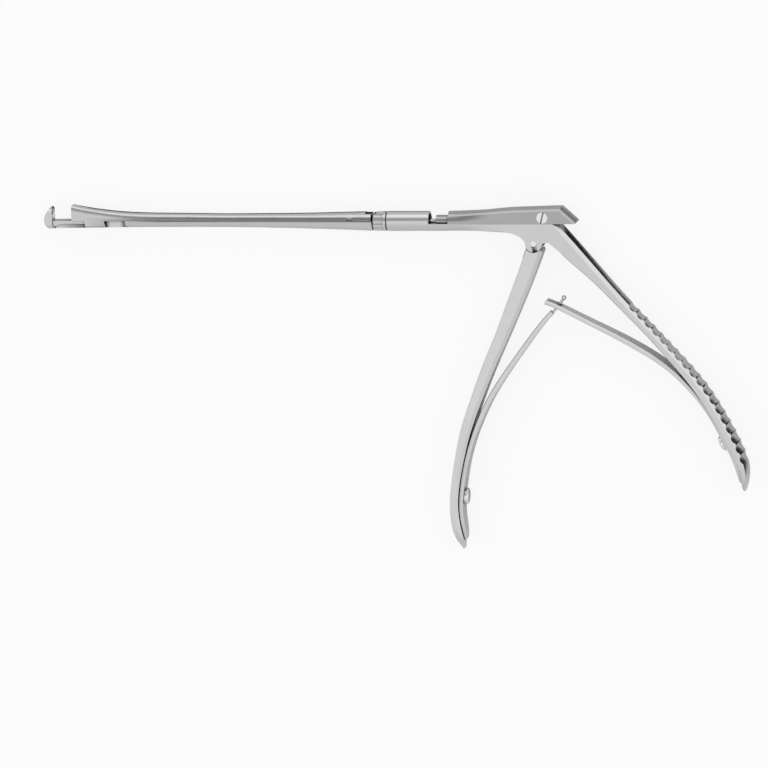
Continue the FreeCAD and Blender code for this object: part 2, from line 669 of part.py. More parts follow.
def flatten_sides(body):
    """Planes off both sides of a handle at the grip's width, the faces that it can lie on."""
    length = size("slide_rear")
    for side in (-1, 1):
        face = new_sketch(body, "XY_Plane", (0, 0, side * size("grip_width") / 2))
        rectangle(face, 0.6 * length, 1.4 * length, -0.7 * length, -0.24 * length)
        pocket(body, face, 3, False, side > 0)


def spring_screw_hole(body, station, radius, start, end):
    """Drills along a spring screw's axis, between two depths measured from the handle's inner face."""
    outer, inner, _ = station
    sketch = along_handle(body, inner, outer, [])
    rectangle(sketch, start, end, 0, radius)
    groove = body.newObject("PartDesign::Groove", body.Name + "_bore")
    groove.Profile = sketch
    groove.ReferenceAxis = (sketch, ["H_Axis"])
    groove.Angle = 360
    return groove


def make_frame():
    """Collar, rail and lobe in one piece with the rear handle."""
    body = new_body("frame")
    round_bar(body, "add", size("collar_start"), size("collar_radius"), size("collar_end") - size("collar_start"))
    radius = size("collar_radius")
    drop = size("rail_drop")
    slim = radius - 0.03
    widening = half_body - slim
    rail = [(size("collar_end") - 1, slim, slim, 1.0), (size("slide_front") + 1, slim, slim, 1.0),
            (135.0, slim + widening * 0.35, drop, 0.8), (140.0, slim + widening * 0.8, drop - 0.04, 0.4),
            (144.5, half_body - 0.01, drop - 0.1, 0.08), (147.0, half_body, drop - 0.05, 0.0)]
    loft(body, [draw(cross_sketch(body, x), arch(half, deep, roundness, 0.25, -1))
                for x, half, deep, roundness in rail])
    lobe = size("lobe_radius")

    def round_lobe(degrees):
        angle = math.radians(degrees)
        return (pivot[0] + lobe * math.cos(angle), pivot[1] + lobe * math.sin(angle))

    plate = side_sketch(body)
    left, bottom, right = round_lobe(195), round_lobe(270), round_lobe(0)
    draw(plate, [line((147.0, 0), (161.8, 0)), line((161.8, 0), (167.2, -6.4)),
                 line((167.2, -6.4), (164.8, -9.7)),
                 line((164.8, -9.7), (161.1, -6.45)), arc((161.1, -6.45), (160.8, -6.3), (160.5, -6.35)),
                 line((160.5, -6.35), right), arc(right, bottom, left),
                 spline([left, (152.9, -5.5), (150.9, -4.0), (148.8, -3.25), (147.0, -drop + 0.05)]),
                 line((147.0, -drop + 0.05), (147.0, 0))])
    pad(body, plate, "@body_width", True)
    plank_loft(body, [(outer, inner, full_width(width), edge_bevel(outer, inner), 0.2)
                      for outer, inner, width in REAR_HANDLE])
    flatten_sides(body)
    top = rectangle(side_sketch(body), size("collar_end"), size("slide_rear") + 5, rail_top, 9)
    pocket(body, top, beyond, True)

    # Bearing bore, wide mouth and the open channel for the boss.
    round_bar(body, "cut", size("collar_start") - 1, size("tenon_radius") + gap, beyond)
    mouth = size("collar_start") + size("collar_bearing_length")
    round_bar(body, "cut", mouth, size("collar_mouth_radius"), size("collar_end") - mouth)
    round_bar(body, "cut", mouth, size("boss_radius") + 0.1, size("slide_front") + 0.15 - mouth)

    # Undercut slot for the rear slide's lug, with a wide entry behind it.
    slot_start = size("tee_lug_start") - travel - 0.3
    slot_end = size("tee_lug_start") + size("tee_lug_length") + 0.2
    ledge = rail_top - size("tee_ledge")
    depth = ledge - size("tee_head_height") - 0.12
    stem = size("tee_stem_half_width") + 0.05
    head = size("tee_head_half_width") + 0.05
    pocket(body, rectangle(side_sketch(body), slot_start, slot_end, depth, 1), 2 * stem, True)
    pocket(body, rectangle(side_sketch(body), slot_start, slot_end, depth, ledge), 2 * head, True)
    entry_end = slot_end + size("tee_lug_length") + 0.2
    pocket(body, rectangle(side_sketch(body), slot_end - 0.01, entry_end, depth, 1), 2 * head, True)

    # Slot for the lever's tongue, pivot hole and its keyhole.
    slot = side_sketch(body)
    lobe_foot = pivot[1] - lobe - 0.5
    polygon(slot, [(151.4, 0.5), (161.8, 0.5), (pivot[0] + lobe + 0.05, pivot[1] + 0.7),
                   (pivot[0] + lobe + 0.05, lobe_foot),
                   (pivot[0] - lobe - 0.05, lobe_foot), (pivot[0] - lobe - 0.05, pivot[1])])
    pocket(body, slot, size("tongue_thickness") + 2 * 0.1, True)
    pocket(body, circle(side_sketch(body), pivot[0], pivot[1], size("pivot_radius") + gap), beyond, True)
    keyhole = side_sketch(body)
    lean = math.tan(math.radians(size("keyhole_tilt")))
    half = size("keyhole_width") / 2
    polygon(keyhole, [(pivot[0] - half, pivot[1]), (pivot[0] + half, pivot[1]),
                      (pivot[0] + half + lean * (lobe + 1), pivot[1] - lobe - 1),
                      (pivot[0] - half + lean * (lobe + 1), pivot[1] - lobe - 1)])
    pocket(body, keyhole, beyond, True)

    # Finger scallops down the back of the handle.
    back = spline([outer for outer, _, _ in REAR_HANDLE]).toShape()
    for parity in (0, 1):
        scallops = side_sketch(body)
        for index in range(parity, int(size("scallop_count")), 2):
            place = back.getParameterByLength(size("scallop_first") + index * size("scallop_pitch"))
            point = back.valueAt(place)
            along = back.tangentAt(place)
            out = size("scallop_radius") - size("scallop_depth")
            circle(scallops, point.x - along.y * out, point.y + along.x * out, size("scallop_radius"))
        pocket(body, scallops, beyond, True)
    depth = size("spring_screw_length") + 0.1
    spring_screw_hole(body, rear_screw_station, size("spring_screw_radius") + seat, -1, depth)
    return body


def make_drive_slide():
    """Rear slide that the lever drives: boss for the rod's button, hooked lug, fork cavity and screw seat."""
    body = new_body("drive_slide")
    front = size("slide_front")
    low_top = size("slide_top_front")
    high_top = size("slide_top_rear")
    radius = size("collar_radius")
    bevel = size("slide_bevel")
    rear = size("slide_rear")
    square = size("square_from")
    square_top = low_top + (high_top - low_top) * 0.58
    sections = [(front, radius, low_top, 1.0),
                (134.0, radius + (half_body - radius) * 0.25, low_top + 0.14, 0.85),
                (139.5, radius + (half_body - radius) * 0.7, low_top + 0.32, 0.5),
                (145.0, half_body - 0.03, low_top + 0.52, 0.15), (square, half_body, square_top, 0.0)]
    loft(body, [draw(cross_sketch(body, x), arch(half, top - rail_top, roundness, bevel, 1, rail_top))
                for x, half, top, roundness in sections])
    block = loft(body, [draw(cross_sketch(body, x), arch(half_body, top - rail_top, 0.0, bevel, 1, rail_top))
                        for x, top in ((square, square_top), (rear + 2, high_top + 0.15))])
    block.Ruled = True
    slope = (rear, rail_top + 0.25)
    shoulder = (rear - 4.8, high_top - 0.12)
    outside = side_sketch(body)
    polygon(outside, [(rear, -1), slope, shoulder, (shoulder[0] - 1.2, high_top + 0.3),
                      (rear + 4, high_top + 0.3), (rear + 4, -1)])
    pocket(body, outside, beyond, True)

    # Boss with a rounded nose, bored for the rod's button and open below.
    boss_start = front - size("boss_length")
    boss = size("boss_radius")
    under = rectangle(side_sketch(body), front - 1, rear + 5, rail_top - 1, rail_top + gap)
    pocket(body, under, beyond, True)

    # Bevels down both edges of the sharp rear end.
    fall = (slope[0] - shoulder[0], slope[1] - shoulder[1])
    inward = (slope[0] + fall[1], slope[1] - fall[0])
    for side in (-1, 1):
        wedge = along_handle(body, slope, inward, [])
        polygon(wedge, [(-0.3, side * (half_body - bevel - 0.3)), (bevel + 0.3, side * (half_body + 0.3)),
                        (-0.3, side * (half_body + 0.3))])
        pocket(body, wedge, beyond, True)
    round_bar(body, "add", boss_start, boss, "@boss_length")
    button = size("rod_button_radius") + 0.08
    cavity_start = size("rod_button_start") - 0.04
    cavity_end = size("rod_button_start") + size("rod_button_length") + 0.04
    neck = size("rod_neck_radius") + 0.08
    round_bar(body, "cut", cavity_start, button, cavity_end - cavity_start)
    pocket(body, rectangle(side_sketch(body), cavity_start, cavity_end, -boss - 1, 0), 2 * button, True)
    round_bar(body, "cut", boss_start - 1, neck, cavity_start + 1.5 - boss_start)
    pocket(body, rectangle(side_sketch(body), boss_start - 1, cavity_start + 0.5, -boss - 1, 0), 2 * neck, True)

    # Hooked lug.
    lug_top = rail_top - size("tee_ledge") - gap
    lug_foot = lug_top - size("tee_head_height")
    start = size("tee_lug_start")
    end = start + size("tee_lug_length")
    pad(body, rectangle(side_sketch(body), start, end, lug_foot, 0.5), "2 * @tee_stem_half_width", True)
    pad(body, rectangle(side_sketch(body), start, end, lug_foot, lug_top), "2 * @tee_head_half_width", True)

    # Cavity for the lever's fork, and the stepped hole for the slide screw.
    half = size("tongue_half_width") + 1.05
    cavity = rectangle(side_sketch(body), screw[0] - half, screw[0] + half, rail_top - 1, 3.4)
    pocket(body, cavity, size("tongue_thickness") + 2 * 0.1, True)
    shank = circle(new_sketch(body, "XY_Plane", (0, 0, -half_body + 0.7)), screw[0], screw[1],
                   size("screw_shank_radius") + seat)
    pocket(body, shank, beyond, False, True)
    seat_floor = half_body - size("screw_head_height")
    head = circle(new_sketch(body, "XY_Plane", (0, 0, seat_floor)), screw[0], screw[1],
                  size("screw_head_radius") + seat * 2)
    pocket(body, head, beyond, False, True)
    return body


def make_slide_screw():
    """Flush slotted screw whose shank the lever's fork pushes."""
    body = new_body("slide_screw")
    foot = -half_body + 0.72
    seat_floor = half_body - size("screw_head_height")
    shank = circle(new_sketch(body, "XY_Plane", (0, 0, foot)), screw[0], screw[1], size("screw_shank_radius"))
    pad(body, shank, seat_floor - foot + 0.1)
    head = circle(new_sketch(body, "XY_Plane", (0, 0, seat_floor + seat)), screw[0], screw[1],
                  size("screw_head_radius"))
    pad(body, head, "@screw_head_height - @seat_gap")
    slot = new_sketch(body, "XY_Plane", (0, 0, half_body - size("screw_slot_depth")))
    lean = math.radians(15)
    long_way = (math.sin(lean) * 3, math.cos(lean) * 3)
    short_way = (math.cos(lean) * size("screw_slot_width") / 2, -math.sin(lean) * size("screw_slot_width") / 2)
    polygon(slot, [(screw[0] + i * long_way[0] + j * short_way[0], screw[1] + i * long_way[1] + j * short_way[1])
                   for i, j in ((-1, -1), (-1, 1), (1, 1), (1, -1))])
    pocket(body, slot, 2, False, True)
    return body


def make_pivot_pin():
    """Pin fixed in the lever's tongue that turns in the frame's lobe."""
    body = new_body("pivot_pin")
    pad(body, circle(side_sketch(body), pivot[0], pivot[1], size("pivot_radius")), "@body_width", True)
    return body


def from_pivot(up, right):
    """Point of the side view given along and across the tongue's line at rest."""
    rise = (screw[0] - pivot[0], screw[1] - pivot[1])
    length = math.hypot(*rise)
    along = (rise[0] / length, rise[1] / length)
    return (pivot[0] + along[0] * up + along[1] * right, pivot[1] + along[1] * up - along[0] * right)


def make_front_handle():
    """Lever: curved grip with bevelled inner edges, hollow shoulders and a forked tongue."""
    body = new_body("front_handle")
    plank_loft(body, [(outer, inner, full_width(width), 0.2, edge_bevel(outer, inner))
                      for outer, inner, width in LEVER])
    flatten_sides(body)
    hollow_radius = size("lobe_radius") + size("shoulder_gap")
    pocket(body, circle(side_sketch(body), pivot[0], pivot[1], hollow_radius), beyond, True)
    # The inner shoulder is cut back so that it passes under the frame when the handles close.
    limit = math.radians(-47)
    wedge = side_sketch(body)
    edge = (pivot[0] + 7 * math.cos(limit), pivot[1] + 7 * math.sin(limit))
    polygon(wedge, [pivot, edge, (pivot[0] + 7, pivot[1] + 4), (pivot[0], pivot[1] + 4)])
    pocket(body, wedge, beyond, True)
    reach = size("fork_reach")
    half = size("tongue_half_width")
    tongue = side_sketch(body)
    draw(tongue, [line(from_pivot(-6, -2.1), from_pivot(0, -2.1)), line(from_pivot(0, -2.1), from_pivot(5.5, -half)),
                  line(from_pivot(5.5, -half), from_pivot(reach - 0.5, -half)),
                  line(from_pivot(reach - 0.5, -half), from_pivot(reach, -half + 0.4)),
                  line(from_pivot(reach, -half + 0.4), from_pivot(reach, half - 0.4)),
                  line(from_pivot(reach, half - 0.4), from_pivot(reach - 0.5, half)),
                  line(from_pivot(reach - 0.5, half), from_pivot(5.5, half)),
                  line(from_pivot(5.5, half), from_pivot(0, 2.1)), line(from_pivot(0, 2.1), from_pivot(-6, 2.1)),
                  line(from_pivot(-6, 2.1), from_pivot(-6, -2.1))])
    pad(body, tongue, "@tongue_thickness", True)
    fork = side_sketch(body)
    wide = size("screw_shank_radius") + 0.1
    bottom = size("fork_bottom")
    draw(fork, [line(from_pivot(reach + 1, wide), from_pivot(bottom + wide, wide)),
                arc(from_pivot(bottom + wide, wide), from_pivot(bottom, 0), from_pivot(bottom + wide, -wide)),
                line(from_pivot(bottom + wide, -wide), from_pivot(reach + 1, -wide)),
                line(from_pivot(reach + 1, -wide), from_pivot(reach + 1, wide))])
    pocket(body, fork, beyond, True)
    pocket(body, circle(side_sketch(body), pivot[0], pivot[1], size("pivot_radius") + seat), beyond, True)
    spring_screw_hole(body, front_screw_station, size("spring_screw_radius") + seat, -1,
                      size("spring_screw_length") + 0.1)
    return body


def spring_station(outer, inner, width, share):
    """The part of a spring on a handle, beside the handle's inner face, at a share of the full thickness."""
    away = (2 * inner[0] - outer[0], 2 * inner[1] - outer[1])
    back = beside(inner, away, size("spring_gap"))
    front = beside(inner, away, size("spring_gap") + size("spring_thickness") * share)
    return (back, front, width, spring_edge, spring_edge)


def clear_seat(body, stations, sign):
    """Cuts a spring back to a film's distance from the inner face of its handle."""
    inner = spline([station[1] for station in stations]).toShape()
    points = []
    for step in range(41):
        place = inner.FirstParameter + (inner.LastParameter - inner.FirstParameter) * step / 40
        point = inner.valueAt(place)
        along = inner.tangentAt(place)
        film = sign * size("spring_gap")
        points.append((point.x + film * along.y, point.y - film * along.x))
    first, last = points[0], points[-1]
    outward = (first[0] + sign * 9, first[1])
    onward = (last[0] + sign * 9, last[1])
    cut = draw(side_sketch(body), [spline(points), line(last, onward), line(onward, outward),
                                   line(outward, first)])
    pocket(body, cut, beyond, True)


def free_station(front, direction, width, thickness):
    """A free part of a spring: a point of its working face, its direction in degrees, width, thickness."""
    angle = math.radians(direction)
    back = (front[0] - math.sin(angle) * thickness, front[1] + math.cos(angle) * thickness)
    return (back, front, width, spring_edge, spring_edge)


def make_rear_leaf_spring():
    """Leaf on the rear handle, ending in a fork."""
    body = new_body("rear_leaf_spring")
    seated = [(12, 3.2, 0.55), (11, 5.0, 1.05), (10, 5.9, 1.1), (9, 6.2, 0.92), (8, 6.3, 0.8)]
    stations = [spring_station(REAR_HANDLE[index][0], REAR_HANDLE[index][1], width, share)
                for index, width, share in seated]
    free = [((203.4, -53.75), 131.0, 6.3, 1.3), ((198.3, -48.5), 138.5, 6.2, 1.4),
            ((190.8, -42.9), 147.0, 6.0, 1.45), ((179.2, -36.3), 151.3, 5.5, 1.4),
            ((170.6, -31.9), 153.5, 5.0, 1.3), ((162.2, -27.6), 155.0, 4.6, 1.25),
            ((158.4, -26.1), 164.0, 4.4, 1.2)]
    stations += [free_station(front, direction, width, -thick) for front, direction, width, thick in free]
    plank_loft(body, stations)
    tip = free[-1][0]
    slot = side_sketch(body)
    angle = math.radians(free[-2][1])
    deep = size("fork_slot_length")
    end = (tip[0] - math.cos(angle) * deep, tip[1] - math.sin(angle) * deep)
    polygon(slot, [(tip[0] - 2, tip[1] - 2), (end[0] - 1, end[1] - 2), (end[0] + 1, end[1] + 2.4),
                   (tip[0] - 2, tip[1] + 4)])
    pocket(body, slot, "@fork_slot_width", True)
    clear_seat(body, REAR_HANDLE[5:], 1)
    spring_screw_hole(body, rear_screw_station, size("spring_screw_radius") + seat * 2, -3, 1)
    spring_screw_hole(body, rear_screw_station, size("spring_screw_head_radius") + 0.1, -3, spring_face)
    return body


def make_front_leaf_spring():
    """Leaf on the lever, ending in a narrow tongue with a ball that the rear spring's fork holds."""
    body = new_body("front_leaf_spring")
    seated = [(13, 3.0, 0.6), (12, 4.8, 0.8), (11, 6.0, 0.88), (10, 6.2, 1.0), (9, 6.2, 1.02), (8, 6.2, 1.02)]
    stations = [spring_station(LEVER[index][0], LEVER[index][1], width, share)
                for index, width, share in seated]
    free = [((134.8, -68.1), 67.0, 6.1, 1.45), ((138.4, -60.3), 61.5, 5.9, 1.6),
            ((143.96, -51.17), 56.0, 5.0, 1.65), ((151.4, -41.1), 53.0, 3.6, 1.6),
            ((158.0, -32.7), 51.3, 2.7, 1.5), ((160.9, -29.4), 50.5, 2.1, 1.4)]
    stations += [free_station(front, direction, width, thick) for front, direction, width, thick in free]
    plank_loft(body, stations)
    tongue = [((160.2, -30.35), 50.5, 1.3), ((162.6, -27.4), 51.0, 1.25), ((164.4, -25.1), 52.0, 1.2)]
    plank_loft(body, [free_station(front, direction, width, 0.8) for front, direction, width in tongue])
    ball = body.newObject("PartDesign::AdditiveSphere", "spring_ball")
    plane = [item for item in body.Origin.OriginFeatures if item.Role == "XY_Plane"][0]
    ball.AttachmentSupport = [(plane, "")]
    ball.MapMode = "FlatFace"
    ball.AttachmentOffset = FreeCAD.Placement(Vec(164.35, -24.4, 0), FreeCAD.Rotation())
    bind(ball, "Radius", "@ball_radius")
    clear_seat(body, LEVER[5:], -1)
    spring_screw_hole(body, front_screw_station, size("spring_screw_radius") + seat * 2, -3, 1)
    spring_screw_hole(body, front_screw_station, size("spring_screw_head_radius") + 0.1, -3, spring_face)
    return body


def make_spring_screw(name, station):
    """Slotted cheese-head screw that clamps a leaf spring to its handle."""
    body = new_body(name)
    outer, inner, _ = station
    face = spring_face
    top = face - size("spring_screw_head_height")
    radius = size("spring_screw_head_radius")
    shank = size("spring_screw_radius")
    end = size("spring_screw_length")
    profile = along_handle(body, inner, outer, [])
    polygon(profile, [(top, 0), (top, radius - 0.4), (top + 0.4, radius), (face - seat, radius), (face - seat, shank),
                      (end - 0.3, shank), (end, shank - 0.3), (end, 0)])
    revolve(body, profile)
    slot = along_handle(body, inner, outer, [])
    half = size("screw_slot_width") * 0.6
    rectangle(slot, top - 1, top + size("screw_slot_depth") + 0.1, -half, half)
    pocket(body, slot, beyond, True)
    return body


MAKERS = [make_fixed_shaft, make_cutting_slide, make_push_rod, make_rod_pin, make_rotation_ring, make_ring_pin,
          make_spring_washer, make_retaining_nut, make_frame, make_drive_slide, make_slide_screw, make_pivot_pin,
          make_front_handle, make_rear_leaf_spring, make_front_leaf_spring]
bodies = [make() for make in MAKERS]
bodies.append(make_spring_screw("rear_spring_screw", rear_screw_station))
bodies.append(make_spring_screw("front_spring_screw", front_screw_station))
doc.recompute()

# Nothing is written unless every feature and every piece is sound.
faults = [item.Name for item in doc.Objects if "Invalid" in item.State or "Error" in item.State]
faults += [body.Label for body in bodies
           if body.Shape.isNull() or not body.Shape.isValid() or len(body.Shape.Solids) != 1]
if faults:
    raise RuntimeError("these features or pieces failed: " + ", ".join(faults))
for body in bodies:
    body.Shape.exportStep("parts/%s.step" % body.Label)
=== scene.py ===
import bpy
import math
from mathutils import Matrix, Vector


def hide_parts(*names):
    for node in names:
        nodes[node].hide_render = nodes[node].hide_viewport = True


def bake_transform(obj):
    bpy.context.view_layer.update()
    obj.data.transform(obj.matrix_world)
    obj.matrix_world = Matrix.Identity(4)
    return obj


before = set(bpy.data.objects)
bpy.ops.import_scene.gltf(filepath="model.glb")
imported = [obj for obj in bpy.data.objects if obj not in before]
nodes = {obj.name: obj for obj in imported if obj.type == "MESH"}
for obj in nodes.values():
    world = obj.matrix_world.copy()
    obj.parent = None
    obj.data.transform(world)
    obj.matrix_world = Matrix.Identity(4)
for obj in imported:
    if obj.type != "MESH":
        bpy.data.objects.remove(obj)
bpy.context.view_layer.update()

# The instrument's own coordinates, in millimetres: along the shaft, up from its axis, and to the side.
ORIGIN_ALONG = 110.08
ORIGIN_UP = -49.48
MID_PLANE = 4.6
ALONG = Vector((1.0, 0.0, 0.0))
ACROSS = Vector((0.0, 1.0, 0.0))
ASIDE = Vector((0.0, 0.0, 1.0))


def place(along_shaft, up, side=0.0):
    """A point of the instrument in the frame's metres."""
    return Vector(((along_shaft - ORIGIN_ALONG) / 1000, (up - ORIGIN_UP) / 1000, (side + MID_PLANE) / 1000))


def node_of(tree, kind, x, y, **values):
    made = tree.nodes.new(kind)
    made.location = (x, y)
    for name, value in values.items():
        setattr(made, name, value)
    return made


def set_inputs(node, **values):
    """Sets the node's sockets; a low line in a name stands for a space."""
    for name, value in values.items():
        node.inputs[name.replace("_", " ")].default_value = value


def join(tree, operation, first, second, x, y):
    joined = node_of(tree, "ShaderNodeMath", x, y, operation=operation)
    tree.links.new(first, joined.inputs[0])
    tree.links.new(second, joined.inputs[1])
    return joined.outputs["Value"]


def multiply_colour(tree, colour, factor, x, y):
    product = node_of(tree, "ShaderNodeMix", x, y, data_type="RGBA", blend_type="MULTIPLY")
    set_inputs(product, Factor=1.0)
    tree.links.new(colour, product.inputs["A"])
    tree.links.new(factor, product.inputs["B"])
    return product.outputs["Result"]


# Areas by place on the piece or on the floor, for painted shade on the steel and for the floor's painted
# cards.
def band(direction, low, high, rise, fall=None, around=None):
    """Places between low and high, measured along direction or as the distance from around.

    The low end is soft over the length rise, and the high end over the length fall."""
    return {
        "direction": direction, "around": around, "low": low, "high": high,
        "rise": rise, "fall": fall or rise,
    }


def along(low, high, rise, fall=None):
    return band(ALONG, place(low, 0).x, place(high, 0).x, rise / 1000, fall and fall / 1000)


def across(low, high, rise):
    return band(ACROSS, place(0, low).y, place(0, high).y, rise / 1000)


def near_middle(half):
    return band(ASIDE, place(0, 0, -half).z, place(0, 0, half).z, 0.0001)


def inside_band(tree, coords, limits, y):
    """1 where the place lies in the band, and 0 outside."""
    reach = node_of(tree, "ShaderNodeVectorMath", -1800, y)
    reach.operation = "DISTANCE" if limits["around"] else "DOT_PRODUCT"
    reach.inputs[1].default_value = limits["around"] or limits["direction"]
    tree.links.new(coords.outputs["Object"], reach.inputs[0])
    ends = (
        (limits["low"], limits["low"] + limits["rise"]),
        (limits["high"], limits["high"] - limits["fall"]),
    )
    ramps = []
    for step, (outer, inner) in enumerate(ends):
        ramp = node_of(tree, "ShaderNodeMapRange", -1600, y - 260 * step)
        set_inputs(ramp, From_Min=outer, From_Max=inner)
        tree.links.new(reach.outputs["Value"], ramp.inputs["Value"])
        ramps.append(ramp.outputs["Result"])
    return join(tree, "MULTIPLY", *ramps, -1400, y)


def inside_areas(tree, areas, x, y):
    """1 where all the bands of any one area overlap."""
    coords = node_of(tree, "ShaderNodeTexCoord", -2000, y)
    whole = None
    for count, bands in enumerate(areas):
        level = y - 1200 * count
        area = inside_band(tree, coords, bands[0], level)
        for step, limits in enumerate(bands[1:]):
            more = inside_band(tree, coords, limits, level - 560 * (step + 1))
            area = join(tree, "MULTIPLY", area, more, -1200, level)
        whole = join(tree, "MAXIMUM", whole, area, x - 160, level) if whole else area
    return whole


# Steels: satin, with the brushing along each piece.
BRUSH_SCALE = (260, 5200, 5200)
CLOUD_SCALE = 140.0
CLOUD_SHARE = 0.45
PIT_SCALE = 5200.0
PIT_SHARE = 0.5
MOTTLE = 0.03
BUMP_STRENGTH = 0.1
BUMP_HEIGHT = 0.00002
GAP_REACH = 0.0012
GAP_SHADE = 0.08
SATIN = 0.17


def steel(name, tone, roughness, grain_angle):
    """Brushed stainless steel; grain_angle is the direction of the brushing in the side view, in degrees."""
    mat = bpy.data.materials.new(name)
    mat.use_nodes = True
    tree = mat.node_tree
    shader = tree.nodes["Principled BSDF"]
    set_inputs(shader, Metallic=1.0)
    link = tree.links.new
    coords = node_of(tree, "ShaderNodeTexCoord", -1300, 0)
    turn = node_of(tree, "ShaderNodeMapping", -1120, 0)
    set_inputs(turn, Rotation=(0, 0, -math.radians(grain_angle)))
    link(coords.outputs["Object"], turn.inputs["Vector"])

    # Fine brushing: a noise drawn out along the grain.
    drawn = node_of(tree, "ShaderNodeMapping", -940, 120)
    set_inputs(drawn, Scale=BRUSH_SCALE)
    link(turn.outputs["Vector"], drawn.inputs["Vector"])
    brush = node_of(tree, "ShaderNodeTexNoise", -760, 120)
    set_inputs(brush, Scale=1.0, Detail=3.0, Roughness=0.6)
    link(drawn.outputs["Vector"], brush.inputs["Vector"])

    # Broad clouding of the polish.
    cloud = node_of(tree, "ShaderNodeTexNoise", -760, -160)
    set_inputs(cloud, Scale=CLOUD_SCALE, Detail=2.0)
    link(turn.outputs["Vector"], cloud.inputs["Vector"])

    # Fine pitting of the satin finish.
    pits = node_of(tree, "ShaderNodeTexNoise", -760, -420)
    set_inputs(pits, Scale=PIT_SCALE, Detail=2.0)
    link(turn.outputs["Vector"], pits.inputs["Vector"])

    blend = node_of(tree, "ShaderNodeMix", -560, 0, data_type="FLOAT")
    set_inputs(blend, Factor=CLOUD_SHARE)
    link(brush.outputs["Fac"], blend.inputs["A"])
    link(cloud.outputs["Fac"], blend.inputs["B"])

    colour = node_of(tree, "ShaderNodeValToRGB", -360, 180)
    low = [channel * (1 - MOTTLE * 2) for channel in tone]
    high = [min(1.0, channel * (1 + MOTTLE)) for channel in tone]
    colour.color_ramp.elements[0].position = 0.3
    colour.color_ramp.elements[0].color = (*low, 1)
    colour.color_ramp.elements[1].position = 0.7
    colour.color_ramp.elements[1].color = (*high, 1)
    link(blend.outputs["Result"], colour.inputs["Fac"])

    # Painted shade: the colour is darkened by ambient occlusion in corners, slots and narrow gaps.
    corners = node_of(tree, "ShaderNodeAmbientOcclusion", -560, 420, samples=8)
    set_inputs(corners, Distance=GAP_REACH)
    occlusion_shade = node_of(tree, "ShaderNodeMapRange", -360, 420)
    set_inputs(occlusion_shade, From_Min=0.35, From_Max=0.92, To_Min=GAP_SHADE, To_Max=1.0)
    link(corners.outputs["AO"], occlusion_shade.inputs["Value"])
    shaded = multiply_colour(tree, colour.outputs["Color"], occlusion_shade.outputs["Result"], -160, 300)
    link(shaded, shader.inputs["Base Color"])

    rough = node_of(tree, "ShaderNodeMapRange", -360, -80)
    set_inputs(rough, From_Min=0.3, From_Max=0.7, To_Min=roughness - 0.03, To_Max=roughness + 0.04)
    link(blend.outputs["Result"], rough.inputs["Value"])
    link(rough.outputs["Result"], shader.inputs["Roughness"])

    relief = node_of(tree, "ShaderNodeMix", -560, -300, data_type="FLOAT")
    set_inputs(relief, Factor=PIT_SHARE)
    link(brush.outputs["Fac"], relief.inputs["A"])
    link(pits.outputs["Fac"], relief.inputs["B"])
    bumped = node_of(tree, "ShaderNodeBump", -360, -300)
    set_inputs(bumped, Strength=BUMP_STRENGTH, Distance=BUMP_HEIGHT)
    link(relief.outputs["Result"], bumped.inputs["Height"])
    link(bumped.outputs["Normal"], shader.inputs["Normal"])
    return mat


def paint_shade(mat, areas, darkest):
    """Paints shade: darkens the steel's colour in the areas."""
    tree = mat.node_tree
    base = tree.nodes["Principled BSDF"].inputs["Base Color"]
    unshaded_colour = base.links[0].from_socket
    shade = node_of(tree, "ShaderNodeMapRange", -400, 700)
    set_inputs(shade, To_Min=1.0, To_Max=darkest)
    tree.links.new(inside_areas(tree, areas, -600, 900), shade.inputs["Value"])
    tree.links.new(multiply_colour(tree, unshaded_colour, shade.outputs["Result"], -160, 700), base)


RING = steel("shaft_steel", (0.64, 0.64, 0.645), SATIN, 0)
REAR_GRIP = steel("rear_handle_steel", (0.66, 0.66, 0.665), SATIN, -52)
LEVER_GRIP = steel("lever_steel", (0.7, 0.7, 0.705), SATIN, 67)
SLIDE = steel("slide_steel", (0.44, 0.44, 0.445), SATIN, 0)
SPRING = steel("spring_steel", (0.68, 0.68, 0.69), 0.2, -28)
PIN = steel("pin_steel", (0.62, 0.62, 0.63), 0.22, 20)
SCREW = steel("screw_steel", (0.86, 0.86, 0.86), 0.18, 75)

# Painted shade: the cutting slide is darkened along its lower edge, fading in behind the cutting head.
CUTTER = steel("cutter_steel", (0.62, 0.62, 0.625), SATIN, 0)
PARTING_ON_CUTTER = [across(-2, 1.8, 0.8), along(14, 200, 16)]
paint_shade(CUTTER, [PARTING_ON_CUTTER], 0.4)

# Painted shade, likewise, on the fixed shaft along its upper edge, at both ends of its window, and under the
# bar behind the jaw.
FOOT = steel("foot_steel", (0.66, 0.66, 0.665), SATIN, 0)
PARTING_ON_SHAFT = [across(0.05, 2, 0.3), along(25, 200, 12)]
WINDOW_FRONT = [near_middle(1.35), along(17.5, 20.9, 1.3)]
WINDOW_REAR = [near_middle(1.35), along(24.0, 27.4, 1.3)]
BAR = [near_middle(1.6), along(4, 19.3, 9, 0.1)]
paint_shade(FOOT, [PARTING_ON_SHAFT, WINDOW_FRONT, WINDOW_REAR, BAR], 0.25)

FINISHES = {
    "fixed_shaft": FOOT, "cutting_slide": CUTTER, "push_rod": PIN, "rod_pin": PIN, "rotation_ring": RING,
    "ring_pin": PIN, "spring_washer": PIN, "retaining_nut": PIN, "frame": REAR_GRIP, "drive_slide": SLIDE,
    "slide_screw": SCREW, "pivot_pin": SCREW, "front_handle": LEVER_GRIP, "rear_leaf_spring": SPRING,
    "front_leaf_spring": SPRING, "rear_spring_screw": SCREW, "front_spring_screw": SCREW,
}
for name, finish in FINISHES.items():
    node = nodes[name]
    node.data.materials.clear()
    node.data.materials.append(finish)


